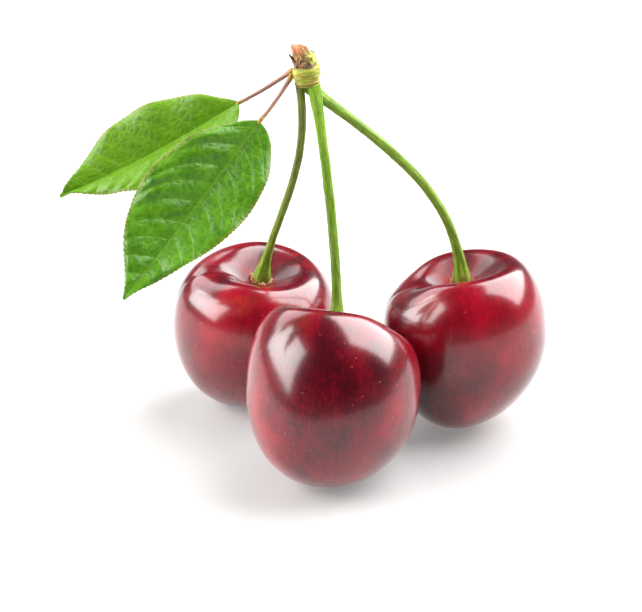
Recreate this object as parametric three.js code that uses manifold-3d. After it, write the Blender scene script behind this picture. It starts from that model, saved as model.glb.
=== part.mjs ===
// Three sweet cherries on their stalks, with the spur that they grew from and its two leaves.
// Millimetres, +Z up. The bunch rests on its three fruits. The origin is on the surface that they rest on,
// under the middle of the bunch, and +Y runs from the front fruit to the two behind it.
import * as THREE from "three";
import { mergeVertices } from "three/addons/utils/BufferGeometryUtils.js";
import Module from "manifold-3d";

const wasm = await Module();
wasm.setup();

const { degToRad, lerp } = THREE.MathUtils;

// ---- Driving dimensions ----

const ORIGIN_SHIFT = new THREE.Vector3(3.3, -12.1, 0); // from under the front fruit to under the whole bunch
const JOIN_GAP = 0.3; // between two pieces that grew together
const CONTACT_DEPTH = 0.15; // how far a fruit flattens where it rests

// A fruit is `width` across its cheeks. Its crown rises above the widest ring, and its tip tapers below it.
// lean is how far the stalk axis tips towards +X and towards +Y, in degrees. suture is the groove's bearing,
// skew is how far the tip lies off the axis towards it, and plump is the tip's superellipse power: 2 is an
// ellipse, and more is fuller.
const FRONT_FRUIT = {
  width: 27, crown: 14, tip: 15.4, lean: [3, 24], suture: 4, skew: -1, plump: 2.12,
};
const LEFT_FRUIT = {
  width: 26.4, crown: 11.8, tip: 15.8, lean: [11, -8], suture: 185, skew: 1, plump: 1.9,
};
const RIGHT_FRUIT = {
  width: 26.5, crown: 14.2, tip: 15.6, lean: [-5, 4], suture: 180, skew: 2.2, plump: 1.9,
};
// Where the other two stand from the front one: a bearing, counterclockwise from +X, and the space between.
const LEFT_PLACE = { bearing: 118, gap: 0.5 };
const RIGHT_PLACE = { bearing: 40, gap: 1.1 };

const CAVITY_DEPTH = 0.36; // as a share of the crown
const CAVITY_REACH = degToRad(28);
const CAVITY_STEEPNESS = 4; // 2 makes a round dimple, and more a flatter floor with a steeper wall
const CROWN_FULLNESS = 2.5; // like plump, for the crown
const GROOVE_DEPTH = 0.21; // as a share of the fruit's radius, where it crosses the cavity's rim
const GROOVE_WIDTH = degToRad(44);
const GROOVE_RIM = degToRad(31); // from the stalk axis to its deepest part
const GROOVE_REACH = degToRad(20); // from there to where it has all but run out
const LOPSIDED = 0.07; // share of the crown that is missing on the groove side, and extra across from it

// Stalk radii are for the middle of the stalk. A stalk leaves its fruit along the fruit's own axis, and comes
// down out of the collar at `bearing`, pointing splay degrees out towards +X and towards +Y. rise and reach
// are how far it holds those two directions. foot and head are how much it widens at the fruit and at the
// collar, as shares of its radius.
const FRONT_STALK = {
  radius: 0.72, foot: 0.95, head: 0.35, rise: 9, bearing: -40, splay: [9, -3], reach: 13,
};
const LEFT_STALK = {
  radius: 0.6, foot: 1.5, head: 0.05, rise: 13, bearing: 200, splay: [6, 11], reach: 15,
};
const RIGHT_STALK = {
  radius: 0.75, foot: 0.95, head: 0.3, rise: 15, bearing: 80, splay: [50, 12], reach: 15.5,
};
const STALK_FLARE_LENGTH = 2.2;

// The collar is the green base that all the stalks come out of. The stub is the wood that it grew on.
// The stub's broken top sways towards -X, and slant is how much lower it is for each mm towards +X.
const SPUR_OFFSET = new THREE.Vector3(-6.7, -3.9, 0); // from over the middle of the three fruits
const SPUR_HEIGHT = 60.3; // of the collar's underside
const COLLAR = { radius: 1.85, height: 2.8, lean: [-6, 3] };
const STUB = { radius: 1.5, height: 2.9, sway: 0.8, slant: 0.17 };
const SOCKET_GAP = 0.2; // between the stalks' tops, which stand on one circle

const PETIOLE_RADIUS = 0.36;
const PETIOLE_BOW = new THREE.Vector3(0.3, 0, -0.2);
const PETIOLE_LEVEL = 0.46; // share of the collar's height where the petioles spring from it
// A leaf's root, base and tip are measured from there: the petiole runs from root to base, and the blade from
// base to tip. face is where its upper side looks. halves are the greatest widths of its higher and its lower
// half. fold is how far they rise from the midrib, and twist turns the blade about it, at base and tip.
const UPPER_LEAF = {
  root: [0, 0.6, 0.2],
  base: [-7.6, 1, -4.6],
  tip: [-34.7, -3.5, -18],
  face: [-0.3, -0.7, 0.75],
  halves: [7.6, 8.2],
  fold: 24,
  twist: [-4, 6],
};
const LOWER_LEAF = {
  root: [0.1, -0.6, -0.4],
  base: [-4.3, -5.3, -5.45],
  tip: [-23.55, -22.4, -26.6],
  face: [0.1, -0.8, 0.6],
  halves: [8.9, 7.5],
  fold: 22,
  twist: [-8, 10],
};
const HALF_POWERS = [1.13, 0.85]; // the higher half is widest beyond the middle, and the lower half before it
const LEAF_THICKNESS = 0.4;
const LEAF_SAG = 1.2; // how far the midrib bows below the straight line from base to tip
const EDGE_ROLL = 0.35; // share of the fold's height that the edges roll back
// Share of the half width at each share of the length, from the base to the drawn-out tip.
const LEAF_OUTLINE = [
  [0, 0.06], [0.03, 0.28], [0.1, 0.58], [0.22, 0.86], [0.38, 1], [0.52, 0.99], [0.65, 0.84], [0.77, 0.61],
  [0.87, 0.33], [0.94, 0.14], [1, 0.03],
];

const BUD_SCALE = { length: 1.7, width: 1.5, thickness: 0.3, flare: 0.5 };
const FRONT_SCALE_SHARE = 0.65; // the front scale has crumbled to this share of the others' size

// Facets: sides round a piece, and rings along it.
const FRUIT_SIDES = 40;
const FRUIT_RINGS = 28;
const STALK_SIDES = 10;
const STALK_RINGS = 26;
const PETIOLE_SIDES = 8;
const PETIOLE_RINGS = 10;
const COLLAR_SIDES = 18;
const STUB_SIDES = 14;
const LEAF_RINGS = 30;
const LEAF_STRIPS = 8; // across the blade, an even number, so that one edge is the midrib

// ---- Materials ----

const skin = new THREE.MeshStandardMaterial({ color: "#6d0714", roughness: 0.2, metalness: 0 });
const stalkGreen = new THREE.MeshStandardMaterial({ color: "#7c9b2c", roughness: 0.5, metalness: 0 });
const petioleBrown = new THREE.MeshStandardMaterial({ color: "#9a6a3f", roughness: 0.55, metalness: 0 });
const leafGreen = new THREE.MeshStandardMaterial({ color: "#4f9418", roughness: 0.4, metalness: 0 });
const collarGreen = new THREE.MeshStandardMaterial({ color: "#c2c64e", roughness: 0.6, metalness: 0 });
const bark = new THREE.MeshStandardMaterial({ color: "#a9713f", roughness: 0.85, metalness: 0 });
const dryScale = new THREE.MeshStandardMaterial({ color: "#6b4a2f", roughness: 0.8, metalness: 0 });

// ---- Geometry helpers ----

// Joins the seams of a three.js geometry, so that it is one closed surface.
function closed(geometry) {
  geometry.deleteAttribute("normal");
  geometry.deleteAttribute("uv");
  return mergeVertices(geometry, 1e-4);
}

// Moves every vertex to where place(vertex) says.
function reshaped(geometry, place) {
  const position = geometry.getAttribute("position");
  const vertex = new THREE.Vector3();
  for (let i = 0; i < position.count; i++) {
    place(vertex.fromBufferAttribute(position, i));
    position.setXYZ(i, vertex.x, vertex.y, vertex.z);
  }
  return closed(geometry);
}

function toSolid(geometry) {
  return new wasm.Manifold(
    new wasm.Mesh({
      numProp: 3,
      vertProperties: geometry.getAttribute("position").array,
      triVerts: new Uint32Array(geometry.index.array),
    }),
  );
}

function toGeometry(solid) {
  const mesh = solid.getMesh();
  return new THREE.BufferGeometry()
    .setAttribute("position", new THREE.BufferAttribute(mesh.vertProperties, 3))
    .setIndex(new THREE.BufferAttribute(mesh.triVerts, 1));
}

// The unit vector that tips from +Z by degrees towards +X and degrees towards +Y.
function leaning([towardsX, towardsY]) {
  return new THREE.Vector3(Math.tan(degToRad(towardsX)), Math.tan(degToRad(towardsY)), 1).normalize();
}

// The horizontal unit vector at a bearing, counterclockwise from +X.
function heading(bearing) {
  return new THREE.Vector3(Math.cos(degToRad(bearing)), Math.sin(degToRad(bearing)), 0);
}

// A round bar of the given radii, from 0 to 1 along it, whose axis follows the curve.
function barAlong(curve, radiusAt, sides, rings) {
  const length = curve.getLength();
  const profile = [new THREE.Vector2(0, 0)];
  for (let i = 0; i <= rings; i++) {
    profile.push(new THREE.Vector2(radiusAt((i / rings) * length, length), i / rings));
  }
  profile.push(new THREE.Vector2(0, 1));
  return reshaped(new THREE.LatheGeometry(profile, sides), (vertex) => {
    const along = THREE.MathUtils.clamp(vertex.y, 0, 1);
    const tangent = curve.getTangentAt(along);
    const side = new THREE.Vector3(0, 1, 0).cross(tangent).normalize();
    const other = side.clone().cross(tangent);
    const { x, z } = vertex;
    vertex.copy(curve.getPointAt(along)).addScaledVector(other, z).addScaledVector(side, x);
  });
}

// ---- Fruits ----

// Distance from the fruit's centre to its skin, `polar` from the stalk axis and `around` it from the groove.
function skinRadius(fruit, polar, around) {
  const above = polar < Math.PI / 2;
  const power = above ? CROWN_FULLNESS : fruit.plump;
  const rise = above ? fruit.crown * (1 - LOPSIDED * Math.cos(around) * Math.sin(polar)) : fruit.tip;
  const across = Math.abs(Math.sin(polar)) / (fruit.width / 2);
  const along = Math.abs(Math.cos(polar)) / rise;
  const body = (across ** power + along ** power) ** (-1 / power);
  const cavity = CAVITY_DEPTH * Math.exp(-((polar / CAVITY_REACH) ** CAVITY_STEEPNESS));
  const fade = Math.exp(-(((polar - GROOVE_RIM) / GROOVE_REACH) ** 2));
  const groove = GROOVE_DEPTH * fade * Math.exp(-((around / GROOVE_WIDTH) ** 2));
  return body * (1 - cavity) * (1 - groove);
}

// The fruit's skin, with finer rings near the cavity than near the tip.
function fruitGeometry(fruit) {
  const ball = new THREE.SphereGeometry(1, FRUIT_SIDES, FRUIT_RINGS).rotateX(Math.PI / 2);
  return reshaped(ball, (vertex) => {
    const even = Math.acos(THREE.MathUtils.clamp(vertex.z, -1, 1));
    const polar = even * lerp(0.65, 1, even / Math.PI);
    const around = Math.abs(Math.sin(even)) < 1e-6 ? 0 : Math.atan2(vertex.y, vertex.x);
    const radius = skinRadius(fruit, polar, around);
    vertex.set(Math.cos(around) * Math.sin(polar), Math.sin(around) * Math.sin(polar), Math.cos(polar));
    vertex.multiplyScalar(radius);
    vertex.x += fruit.skew * (Math.min(vertex.z, 0) / fruit.tip) ** 2;
  });
}

// The fruit leaned over, about the middle of its widest ring.
function leanedFruit(fruit) {
  const axis = leaning(fruit.lean);
  const turn = new THREE.Quaternion()
    .setFromUnitVectors(new THREE.Vector3(0, 0, 1), axis)
    .multiply(new THREE.Quaternion().setFromAxisAngle(new THREE.Vector3(0, 0, 1), degToRad(fruit.suture)));
  return { fruit, axis, geometry: fruitGeometry(fruit).applyQuaternion(turn) };
}

// How far the leaned fruit reaches from its centre in a direction.
function reachOf(leaned, direction) {
  const position = leaned.geometry.getAttribute("position");
  const vertex = new THREE.Vector3();
  let reach = 0;
  for (let i = 0; i < position.count; i++) {
    reach = Math.max(reach, vertex.fromBufferAttribute(position, i).dot(direction));
  }
  return reach;
}

// The leaned fruit, standing at a point of the surface and flattened where it rests. `floor` is the bottom of
// its cavity, where the stalk grows.
function placedFruit({ fruit, axis, geometry }, ground) {
  geometry.computeBoundingBox();
  const centre = ground.clone().setZ(-geometry.boundingBox.min.z - CONTACT_DEPTH);
  const whole = toSolid(geometry.clone().translate(...centre));
  const under = new THREE.BoxGeometry(2 * fruit.width, 2 * fruit.width, 2 * CONTACT_DEPTH);
  under.translate(centre.x, centre.y, -CONTACT_DEPTH);
  const floor = centre.clone().addScaledVector(axis, fruit.crown * (1 - CAVITY_DEPTH));
  return { geometry: toGeometry(whole.subtract(toSolid(closed(under)))), centre, axis, floor };
}

// Where a leaned fruit stands beside the front one.
function beside(front, leaned, { bearing, gap }) {
  const away = heading(bearing);
  const distance = reachOf(front, away) + gap + reachOf(leaned, away.clone().negate());
  return away.multiplyScalar(distance);
}

const frontLeaned = leanedFruit(FRONT_FRUIT);
const leftLeaned = leanedFruit(LEFT_FRUIT);
const rightLeaned = leanedFruit(RIGHT_FRUIT);
const fruits = {
  front: placedFruit(frontLeaned, new THREE.Vector3()),
  left: placedFruit(leftLeaned, beside(frontLeaned, leftLeaned, LEFT_PLACE)),
  right: placedFruit(rightLeaned, beside(frontLeaned, rightLeaned, RIGHT_PLACE)),
};

// ---- Spur: the green collar and the stub of wood above it ----

const collarFoot = new THREE.Vector3()
  .add(fruits.front.centre)
  .add(fruits.left.centre)
  .add(fruits.right.centre)
  .divideScalar(3)
  .add(SPUR_OFFSET)
  .setZ(SPUR_HEIGHT);
const collarAxis = leaning(COLLAR.lean);

// A turned piece standing at `foot` along the collar's axis. Its outline holds shares of [radius, height].
function lathed(outline, { radius, height }, foot, sides) {
  const points = outline.map(([across, up]) => new THREE.Vector2(across * radius, up * height));
  const geometry = closed(new THREE.LatheGeometry(points, sides).rotateX(Math.PI / 2));
  const turn = new THREE.Quaternion().setFromUnitVectors(new THREE.Vector3(0, 0, 1), collarAxis);
  return geometry.applyQuaternion(turn).translate(...foot);
}

// Two ring-shaped scars, left by shed bud scales, stand proud of the collar.
function collarGeometry() {
  const outline = [
    [0, 0], [0.9, 0], [1.03, 0.06], [1.03, 0.14], [0.96, 0.22], [1.06, 0.38], [1.2, 0.46], [1.19, 0.54],
    [1.12, 0.62], [1.12, 0.78], [0.98, 0.92], [0.8, 1], [0, 1],
  ];
  return lathed(outline, COLLAR, collarFoot, COLLAR_SIDES);
}

// The stub sways as it rises, and ends in a slanting break.
function stubGeometry() {
  const foot = collarFoot.clone().addScaledVector(collarAxis, COLLAR.height + JOIN_GAP);
  const outline = [
    [0, 0], [0.85, 0], [0.98, 0.12], [1, 0.3], [0.9, 0.42], [0.86, 0.6], [0.8, 0.8], [0.72, 1], [0, 1],
  ];
  return reshaped(lathed(outline, STUB, foot, STUB_SIDES), (vertex) => {
    const fromFoot = vertex.clone().sub(foot);
    const up = Math.max(0, fromFoot.dot(collarAxis) / STUB.height);
    vertex.addScaledVector(collarAxis, -STUB.slant * up ** 3 * (fromFoot.x + STUB.radius));
    vertex.x -= STUB.sway * up ** 1.5;
  });
}

// ---- Stalks ----

const topRadii = [FRONT_STALK, LEFT_STALK, RIGHT_STALK].map(({ radius, head }) => radius * (1 + head));
const socketCircle = (2 * Math.max(...topRadii) + SOCKET_GAP) / Math.sqrt(3); // for three tops, spaced evenly

// The middle of a stalk's top, so low that the edge of its slanting end is one JOIN_GAP below the collar.
function socket(stalk) {
  const turn = new THREE.Quaternion().setFromUnitVectors(new THREE.Vector3(0, 0, 1), collarAxis);
  const out = heading(stalk.bearing).multiplyScalar(socketCircle).applyQuaternion(turn);
  const slant = Math.sin(degToRad(Math.hypot(...stalk.splay)));
  const edge = stalk.radius * (1 + stalk.head) * slant;
  return collarFoot.clone().add(out).addScaledVector(collarAxis, -JOIN_GAP - edge);
}

// A stalk runs along its fruit's axis at the bottom, and splays out of the collar at the top.
function stalkCurve(fruit, stalk) {
  const start = fruit.floor.clone().addScaledVector(fruit.axis, 2 * JOIN_GAP);
  const end = socket(stalk);
  const downwards = leaning(stalk.splay);
  downwards.z *= -1;
  return new THREE.CubicBezierCurve3(
    start,
    start.clone().addScaledVector(fruit.axis, stalk.rise),
    end.clone().addScaledVector(downwards, stalk.reach),
    end,
  );
}

function stalkGeometry(fruit, stalk) {
  const radiusAt = (along, length) => {
    const foot = stalk.foot * Math.exp(-((along / STALK_FLARE_LENGTH) ** 2));
    const head = stalk.head * Math.exp(-(((length - along) / (2 * STALK_FLARE_LENGTH)) ** 2));
    return stalk.radius * (1 + foot + head);
  };
  return barAlong(stalkCurve(fruit, stalk), radiusAt, STALK_SIDES, STALK_RINGS);
}

// ---- Leaves ----

// Beside the collar, on its -X side, clear of its ring.
const leafOrigin = collarFoot
  .clone()
  .addScaledVector(collarAxis, PETIOLE_LEVEL * COLLAR.height)
  .add(new THREE.Vector3(-1.05 * COLLAR.radius - JOIN_GAP - PETIOLE_RADIUS, 0, 0));

function leafPoint(offset) {
  return new THREE.Vector3(...offset).add(leafOrigin);
}

function petioleGeometry(leaf) {
  const start = leafPoint(leaf.root);
  const end = leafPoint(leaf.base);
  const middle = start.clone().lerp(end, 0.5).add(PETIOLE_BOW);
  const radiusAt = (along, length) => PETIOLE_RADIUS * lerp(1.1, 0.85, along / length);
  return barAlong(
    new THREE.QuadraticBezierCurve3(start, middle, end),
    radiusAt,
    PETIOLE_SIDES,
    PETIOLE_RINGS,
  );
}

const outlineSpline = new THREE.SplineCurve(LEAF_OUTLINE.map((pair) => new THREE.Vector2(...pair)));
const outlinePoints = outlineSpline.getPoints(200);

// Share of the half width. A half's widest part moves towards the tip with a power over 1, and back under 1.
function outlineAt(share, power) {
  const along = share ** power;
  const next = outlinePoints.findIndex((point) => point.x >= along);
  if (next <= 0) return outlinePoints[Math.max(next, 0)].y;
  const a = outlinePoints[next - 1];
  const b = outlinePoints[next];
  return lerp(a.y, b.y, (along - a.x) / (b.x - a.x));
}

// A thin box, bent to the blade's surface: its halves fold up from the midrib, and their edges roll back.
function leafGeometry(leaf) {
  const base = leafPoint(leaf.base);
  const run = leafPoint(leaf.tip).sub(base);
  const length = run.length();
  const forward = run.normalize();
  const side = new THREE.Vector3(...leaf.face).cross(forward).normalize();
  const up = forward.clone().cross(side);
  const first = JOIN_GAP + PETIOLE_RADIUS; // the blade starts clear of the petiole's end
  const tilt = degToRad(leaf.fold);
  const sheet = new THREE.BoxGeometry(1, 2, LEAF_THICKNESS, LEAF_RINGS, LEAF_STRIPS, 1);
  return reshaped(sheet, (vertex) => {
    const along = vertex.x + 0.5;
    const half = vertex.y < 0 ? 0 : 1;
    const reach = leaf.halves[half] * outlineAt(along, HALF_POWERS[half]);
    const across = reach * vertex.y;
    const fold = reach * (Math.abs(vertex.y) - EDGE_ROLL * vertex.y ** 4) * Math.sin(tilt);
    const turned = new THREE.Vector2(across * Math.cos(tilt), fold + vertex.z);
    turned.rotateAround(new THREE.Vector2(), degToRad(lerp(leaf.twist[0], leaf.twist[1], along)));
    vertex
      .copy(base)
      .addScaledVector(forward, lerp(first, length, along))
      .addScaledVector(side, turned.x)
      .addScaledVector(up, turned.y - LEAF_SAG * Math.sin(Math.PI * along));
  });
}

// ---- Bud scales: dry flakes left round the joint of stub and collar ----

function budScaleGeometry(bearing, share = 1) {
  const { thickness } = BUD_SCALE;
  const length = BUD_SCALE.length * share;
  const width = BUD_SCALE.width * share;
  const flare = BUD_SCALE.flare * share;
  const out = heading(bearing);
  const across = out.clone().cross(new THREE.Vector3(0, 0, 1));
  const wall = STUB.radius + JOIN_GAP;
  const foot = collarFoot
    .clone()
    .addScaledVector(collarAxis, COLLAR.height + JOIN_GAP)
    .addScaledVector(out, wall + thickness);
  const flake = new THREE.BoxGeometry(width, thickness, length, 4, 1, 5);
  return reshaped(flake, (vertex) => {
    const up = vertex.z / length + 0.5;
    const wide = vertex.x * lerp(1, 0.15, up ** 2);
    const outwards = vertex.y + flare * up ** 2 - wide ** 2 / (2 * wall); // hugs the round stub at its foot
    vertex
      .copy(foot)
      .addScaledVector(across, wide)
      .addScaledVector(out, outwards)
      .addScaledVector(collarAxis, up * length);
  });
}

// ---- Assembly ----

const bunch = new THREE.Group();
bunch.name = "cherries_on_stalks";
bunch.position.copy(ORIGIN_SHIFT);

function add(name, geometry, material) {
  const mesh = new THREE.Mesh(geometry, material);
  mesh.name = name;
  bunch.add(mesh);
}

add("cherry_front", fruits.front.geometry, skin);
add("cherry_left", fruits.left.geometry, skin);
add("cherry_right", fruits.right.geometry, skin);
add("stalk_front", stalkGeometry(fruits.front, FRONT_STALK), stalkGreen);
add("stalk_left", stalkGeometry(fruits.left, LEFT_STALK), stalkGreen);
add("stalk_right", stalkGeometry(fruits.right, RIGHT_STALK), stalkGreen);
add("spur_collar", collarGeometry(), collarGreen);
add("spur_stub", stubGeometry(), bark);
add("petiole_upper", petioleGeometry(UPPER_LEAF), petioleBrown);
add("petiole_lower", petioleGeometry(LOWER_LEAF), petioleBrown);
add("leaf_upper", leafGeometry(UPPER_LEAF), leafGreen);
add("leaf_lower", leafGeometry(LOWER_LEAF), leafGreen);
add("bud_scale_left", budScaleGeometry(190), dryScale);
add("bud_scale_front", budScaleGeometry(285, FRONT_SCALE_SHARE), dryScale);
add("bud_scale_back", budScaleGeometry(60), dryScale);

export default bunch;
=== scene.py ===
# %% [markdown]
# # Cherries on stalks
# Three sweet cherries stand on a table. Their stalks meet in a woody spur, which carries two leaves. The CAD
# model is loaded first, and stays as it is: it says where each piece is and how big. Every piece is then built
# again here, finer, from numpy arrays of points that follow simple formulas. That way a ridge, a vein or a
# tooth on a leaf's edge is real geometry, and its place is known in millimetres.

import math

import bpy
import numpy as np
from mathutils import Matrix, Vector


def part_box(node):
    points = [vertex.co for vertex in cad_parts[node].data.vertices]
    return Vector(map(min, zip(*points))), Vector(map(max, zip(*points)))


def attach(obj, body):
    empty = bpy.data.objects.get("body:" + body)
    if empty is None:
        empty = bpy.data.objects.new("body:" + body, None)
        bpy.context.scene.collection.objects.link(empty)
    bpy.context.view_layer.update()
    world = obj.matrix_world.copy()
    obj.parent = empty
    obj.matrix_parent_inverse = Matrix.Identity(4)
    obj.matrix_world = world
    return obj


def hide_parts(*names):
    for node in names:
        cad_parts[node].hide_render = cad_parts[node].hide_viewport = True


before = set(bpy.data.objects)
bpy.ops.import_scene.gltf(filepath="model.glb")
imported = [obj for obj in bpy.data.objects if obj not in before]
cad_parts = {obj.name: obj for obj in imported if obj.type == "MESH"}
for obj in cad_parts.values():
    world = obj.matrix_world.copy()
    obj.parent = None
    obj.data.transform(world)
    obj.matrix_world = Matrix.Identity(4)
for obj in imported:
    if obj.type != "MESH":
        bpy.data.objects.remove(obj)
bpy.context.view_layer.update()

# %% [markdown]
# ## Small tools
# Sizes below are in millimetres, because a gardener would measure a cherry that way. One line turns them to
# metres when a mesh is made. Directions are unit vectors, and +Z is up.

# %% Units and directions
MM = 0.001


def unit(vector):
    vector = np.asarray(vector, float)
    return vector / np.linalg.norm(vector)


def leaning(towards_x, towards_y):
    """The direction that tips from straight up by degrees towards +X and degrees towards +Y."""
    return unit([math.tan(math.radians(towards_x)), math.tan(math.radians(towards_y)), 1])


def heading(bearing):
    """The level direction at a bearing in degrees, counterclockwise from +X."""
    return np.array([math.cos(math.radians(bearing)), math.sin(math.radians(bearing)), 0.0])


def turn_up_to(axis):
    """The rotation matrix that takes straight up to `axis` by the shortest way."""
    x, y, z = axis
    cross = np.array([[0, 0, x], [0, 0, y], [-x, -y, 0]])
    return np.eye(3) + cross + cross @ cross / (1 + z)


def node_box(node):
    low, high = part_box(node)
    return np.array(low) / MM, np.array(high) / MM


def print_fit(node, points):
    """Prints how far a piece's box lies past the box of its CAD node, in millimetres."""
    low, high = node_box(node)
    print(node, "past the CAD box:", (points.min(0) - low).round(2), (points.max(0) - high).round(2))


print("up leaned 10 degrees to +X:", leaning(10, 0).round(3))

# %% [markdown]
# Nothing that grew is quite even. Adding up a few sine waves in directions picked by a seeded random generator
# gives a smooth unevenness that comes out the same each time, and works on a whole array of points at once.


# %% Natural unevenness
def unevenness(points, size, seed, waves=9):
    """A smooth value, about -1 to 1, at each point. Its bumps are about `size` across."""
    random = np.random.default_rng(seed)
    total = np.zeros(len(points))
    for _ in range(waves):
        direction = unit(random.normal(size=3)) * random.uniform(0.6, 1.4)
        total += np.sin(points @ direction * (math.pi / size) + random.uniform(0, 2 * math.pi))
    return total / math.sqrt(waves)


def hill(distance, width):
    """1 where distance is 0, falling smoothly to almost 0 at two widths."""
    return np.exp(-((np.asarray(distance) / width) ** 2))


def smooth_step(low, high, value):
    share = np.clip((value - low) / (high - low), 0, 1)
    return share * share * (3 - 2 * share)


print("unevenness at three points:", unevenness(np.eye(3) * 5, 2, 1).round(2))

# %% [markdown]
# A mesh can be made straight from a list of points and a list of faces. Most pieces here are a grid of points
# that closes on itself round the piece and has a cap at each end. Named attributes travel with the points, so
# that a material can later ask how far along the stalk or how close to a vein it is.


# %% Meshes from grids of points
pieces = {}


def add_piece(name, points, faces, marks, nodes=()):
    """A mesh piece that rides on the bunch. `marks` holds a value or a vector for each point."""
    mesh = bpy.data.meshes.new(name)
    mesh.from_pydata((np.asarray(points) * MM).tolist(), [], faces)
    for mark, values in marks.items():
        values = np.asarray(values, np.float32)
        kind, field = ("FLOAT", "value") if values.ndim == 1 else ("FLOAT_VECTOR", "vector")
        mesh.attributes.new(mark, kind, "POINT").data.foreach_set(field, values.ravel())
    mesh.validate()
    mesh.polygons.foreach_set("use_smooth", [True] * len(mesh.polygons))
    piece = bpy.data.objects.new(name, mesh)
    bpy.context.scene.collection.objects.link(piece)
    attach(piece, "root")
    if nodes:
        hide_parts(*nodes)
    pieces[name] = piece
    print(f"{name}: {len(mesh.polygons)} faces")
    return piece


def every_pair(rows, columns):
    """Each row's value with each column's, row by row, as two flat arrays."""
    return [grid.ravel() for grid in np.meshgrid(rows, columns, indexing="ij")]


def tube_faces(rings, sides):
    """Faces of a closed bar. Point 0 is its start, the last point its end, and rings of points lie between."""
    step = np.arange(sides)
    after = (step + 1) % sides
    faces = [[0, 1 + b, 1 + a] for a, b in zip(step, after)]
    for ring in range(rings - 1):
        low, high = 1 + ring * sides, 1 + (ring + 1) * sides
        faces += np.stack([low + step, low + after, high + after, high + step], 1).tolist()
    last = 1 + (rings - 1) * sides
    end = last + sides
    return faces + [[end, last + a, last + b] for a, b in zip(step, after)]


# %% [markdown]
# ## The fruits
# A sweet cherry is a heart-shaped drupe: square shoulders round a funnel where the stalk grows, a shallow
# groove (the suture) down one side, and a slightly drawn-out tip. It could be sculpted, but a formula for the
# distance from the middle to the skin gives the same shape as the CAD, only smoother. A superellipse makes the
# shoulders, and bell curves dig the funnel and the groove.

# %% Cherry sizes
# Width across the cheeks, height of crown and tip, lean towards +X and +Y, the groove's bearing, the tip's skew.
# The last two say which side of the fruit gets painted shade, a darker red, and how dark that painted shade is.
CHERRIES = {
    "cherry_front": dict(
        width=27, crown=14, tip=15.4, lean=(3, 24), suture=4, skew=-1.0, plumpness=2.12,
        shaded_side=(0.02, -0.8, 0.6), deepest_shade=1.25,
    ),
    "cherry_left": dict(
        width=26.4, crown=11.8, tip=15.8, lean=(11, -8), suture=185, skew=1, plumpness=1.9,
        shaded_side=(0.3, -0.1, 0.95), deepest_shade=1.3,
    ),
    "cherry_right": dict(
        width=26.5, crown=14.2, tip=15.6, lean=(-5, 4), suture=180, skew=2.2, plumpness=1.9,
        shaded_side=(-0.6, -0.5, -0.3), deepest_shade=1.0,
    ),
}
CAVITY_DEPTH, CAVITY_REACH, CAVITY_STEEPNESS = 0.36, math.radians(28), 4
CROWN_FULLNESS = 2.5
GROOVE_DEPTH, GROOVE_WIDTH = 0.21, math.radians(44)
GROOVE_RIM, GROOVE_REACH = math.radians(31), math.radians(20)
LOPSIDED = 0.07
SUTURE_LINE = dict(depth=0.1, width=0.7)  # the fine crease that runs on from the groove down to the tip
TIP_SCAR = dict(depth=0.35, reach=math.radians(4.5))  # where the flower's style dried off
MEAN_RADIUS = 13  # turns angles on the skin into millimetres for the finishes
BUMPY = dict(broad=0.12, fine=0.012)  # how far the cheeks stray from round
FUNNEL_REACH = math.radians(15)  # the torn skin round the stalk
DULL_WITHIN, WAXY_BEYOND = math.radians(22), math.radians(34)  # the cavity's skin has less wax
# Painted shade: how far the darker red spreads round the shaded side, and a dark band painted round the cavity
SHADE_SPREAD = 0.62
SHADED_RIM = dict(depth=0.9, at=math.radians(28), width=math.radians(15))  # a dark band round the cavity


def skin_radius(cherry, polar, around):
    """Distance from the cherry's middle to its skin, `polar` from the stalk axis and `around` it."""
    above = polar < math.pi / 2
    power = np.where(above, CROWN_FULLNESS, cherry["plumpness"])
    crown = cherry["crown"] * (1 - LOPSIDED * np.cos(around) * np.sin(polar))
    rise = np.where(above, crown, cherry["tip"])
    across = np.abs(np.sin(polar)) / (cherry["width"] / 2)
    body = (across**power + (np.abs(np.cos(polar)) / rise) ** power) ** (-1 / power)
    cavity = CAVITY_DEPTH * np.exp(-((polar / CAVITY_REACH) ** CAVITY_STEEPNESS))
    groove = GROOVE_DEPTH * hill(polar - GROOVE_RIM, GROOVE_REACH) * hill(around, GROOVE_WIDTH)
    groove = groove * (1 - hill(polar, math.radians(7)))
    return body * (1 - cavity) * (1 - groove)


print("radius at the cheek:", skin_radius(CHERRIES["cherry_front"], np.array([math.pi / 2]), np.array([2.0])))

# %% [markdown]
# The fine relief comes on top: cheeks that aren't quite round, the crease of the suture, and the little scar at
# the tip. Where the fruit stands on the table its skin is pressed flat, so points below the table move up to it.
# The middle of the mesh's box is put on the middle of the CAD node's box across, and its top on the box's top,
# which leaves no fitting to do by eye.

# %% Build the cherries
CHERRY_SIDES, CHERRY_RINGS = 216, 144
placed = {}  # where each cherry's middle is, and the direction of its stalk


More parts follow.
